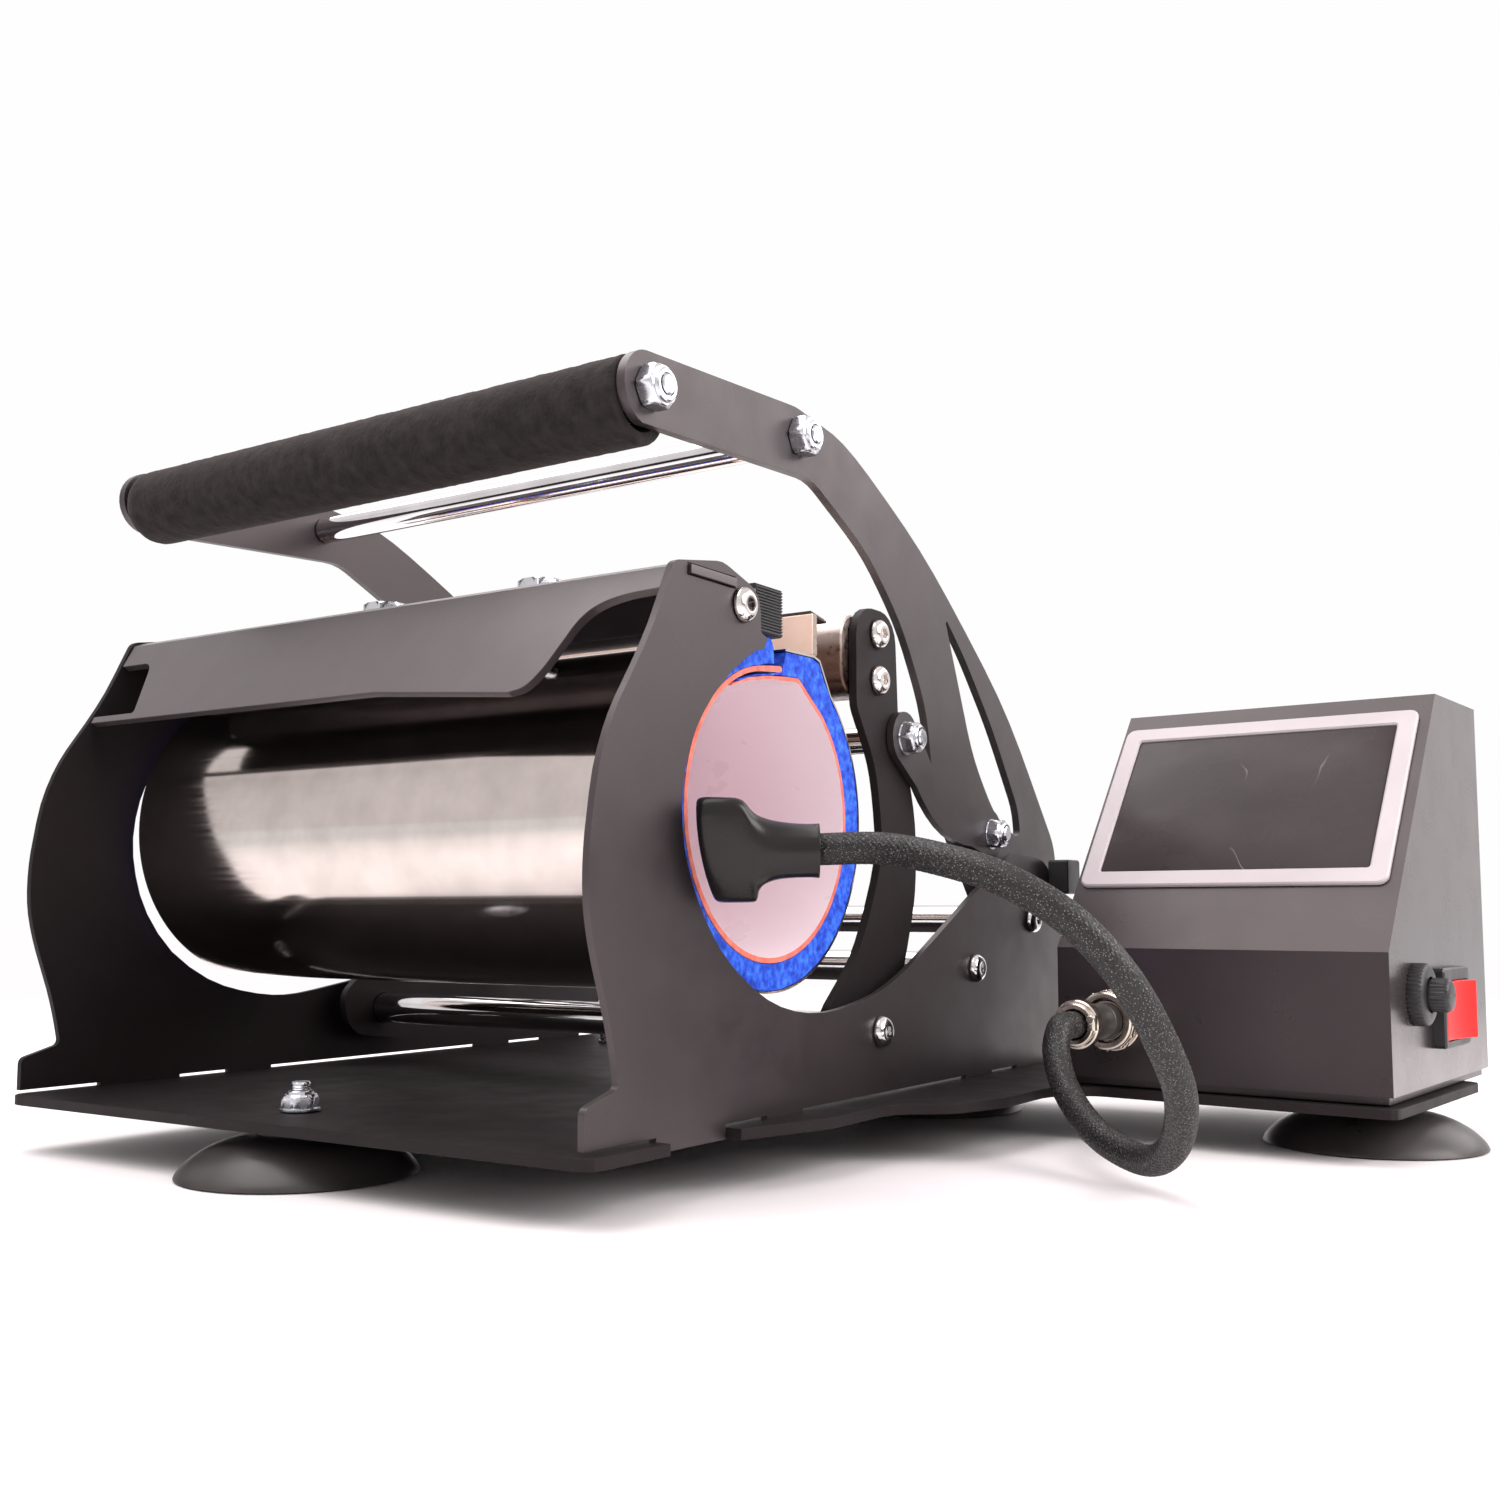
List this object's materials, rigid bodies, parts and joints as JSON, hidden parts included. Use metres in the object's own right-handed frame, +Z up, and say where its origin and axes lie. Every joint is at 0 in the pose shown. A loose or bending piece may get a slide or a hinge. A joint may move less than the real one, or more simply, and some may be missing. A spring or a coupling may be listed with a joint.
{
  "type": "tumbler heat press",
  "caption": "Clamshell heat press for tumblers: a curved heater wrap closed by a long lever handle, with a control box beside it on the base.",
  "frame": {"origin": "on the table under the middle of the press's bounding box", "axes": "+X along the heater towards the control box, +Y from the operator to the rear, +Z up"},
  "size_m": [0.421, 0.3572, 0.2421],
  "materials": {
    "powder_black": "fine matte powder coat",
    "polished_steel": "polished stainless sheet and bar",
    "chrome": "bright chrome plate",
    "zinc": "bright zinc plate",
    "nickel": "nickel plate, knurled",
    "foam_black": "closed-cell foam, matte",
    "sponge_blue": "open silicone sponge",
    "silicone_red": "thin silicone sheet, satin",
    "rubber_black": "moulded rubber, satin",
    "plastic_black": "moulded plastic, satin",
    "braid_black": "woven nylon braid",
    "bezel_grey": "satin pale grey",
    "screen": "dark glossy window",
    "rocker_red": "glossy red",
    "board_green": "circuit board"
  },
  "bodies": {
    "press": {"base_plate": "powder_black", "box_housing": "powder_black", "box_pan": "powder_black", "bumper_left": "plastic_black", "bumper_right": "plastic_black", "clamp_bar_front": "polished_steel", "control_board": "board_green", "cover_bolt_left": "zinc", "cover_bolt_right": "zinc", "cover_plate": "powder_black", "foot_stud_front": "zinc", "foot_stud_rear_left": "zinc", "foot_stud_rear_right": "zinc", "foot_stud_shelf": "zinc", "fuse_holder": "plastic_black", "handle_pivot_rod": "chrome", "heater_boot": "rubber_black", "heater_cable": "braid_black", "heater_foam_front": "sponge_blue", "heater_liner_front": "silicone_red", "heater_shell_front": "polished_steel", "jaw_pivot_rod": "chrome", "lcd_bezel": "bezel_grey", "lcd_screen": "screen", "panel_socket": "nickel", "plug_body": "nickel", "power_inlet": "plastic_black", "rear_stop_left": "plastic_black", "rear_stop_right": "plastic_black", "rocker_frame": "plastic_black", "side_plate_left": "powder_black", "side_plate_right": "powder_black", "suction_cup_front": "rubber_black", "suction_cup_rear_left": "rubber_black", "suction_cup_rear_right": "rubber_black", "suction_cup_shelf": "rubber_black", "tie_rod_rear": "chrome"},
    "jaw": {"jaw_arm_left": "powder_black", "jaw_arm_right": "powder_black", "jaw_bar": "polished_steel", "jaw_bar_cap": "zinc", "jaw_bracket": "polished_steel", "jaw_link_rod": "zinc", "heater_foam_rear": "sponge_blue", "heater_liner_rear": "silicone_red", "heater_shell_rear": "polished_steel"},
    "link": {"link_left": "powder_black", "link_right": "powder_black", "link_bolt_left": "zinc", "link_bolt_right": "zinc"},
    "handle": {"handle_arm_left": "powder_black", "handle_arm_right": "powder_black", "handle_cross_rod": "chrome", "grip_foam": "foam_black", "grip_rod": "zinc", "grip_tube": "zinc"},
    "rocker": {"rocker_switch": "rocker_red"},
    "fuse_knob": {"fuse_cap": "plastic_black"},
    "collar": {"plug_collar": "nickel"}
  },
  "joints": [
    {"name": "handle_swing", "type": "hinge", "parent": "press", "child": "handle", "pos_m": [-0.079, 0.11643, 0.0755], "axis": [-1, 0, 0], "range_deg": [0, 60]},
    {"name": "jaw_swing", "type": "hinge", "parent": "press", "child": "jaw", "pos_m": [-0.079, -0.00957, 0.0393], "axis": [-1, 0, 0], "range_deg": [0, 21.9]},
    {"name": "link_swing", "type": "hinge", "parent": "jaw", "child": "link", "pos_m": [-0.079, 0.02023, 0.1401], "axis": [1, 0, 0], "range_deg": [0, 39.7]},
    {"name": "rocker_tilt", "type": "hinge", "parent": "press", "child": "rocker", "pos_m": [0.19553, 0.11233, 0.0466], "axis": [0, 0, 1], "range_deg": [0, 16.1]},
    {"name": "fuse_knob_turn", "type": "hinge", "parent": "press", "child": "fuse_knob", "pos_m": [0.20171, 0.07564, 0.0521], "axis": [0.997, -0.0776, 0], "range_deg": [0, 90]},
    {"name": "collar_turn", "type": "hinge", "parent": "press", "child": "collar", "pos_m": [0.09868, 0.04454, 0.0416], "axis": [-0.0776, -0.997, 0], "range_deg": [0, 360]}
  ],
  "couplings": [
    {"joint": "jaw_swing", "follows": "handle_swing", "ratio": 0.3646},
    {"joint": "link_swing", "follows": "handle_swing", "ratio": 0.66137}
  ]
}
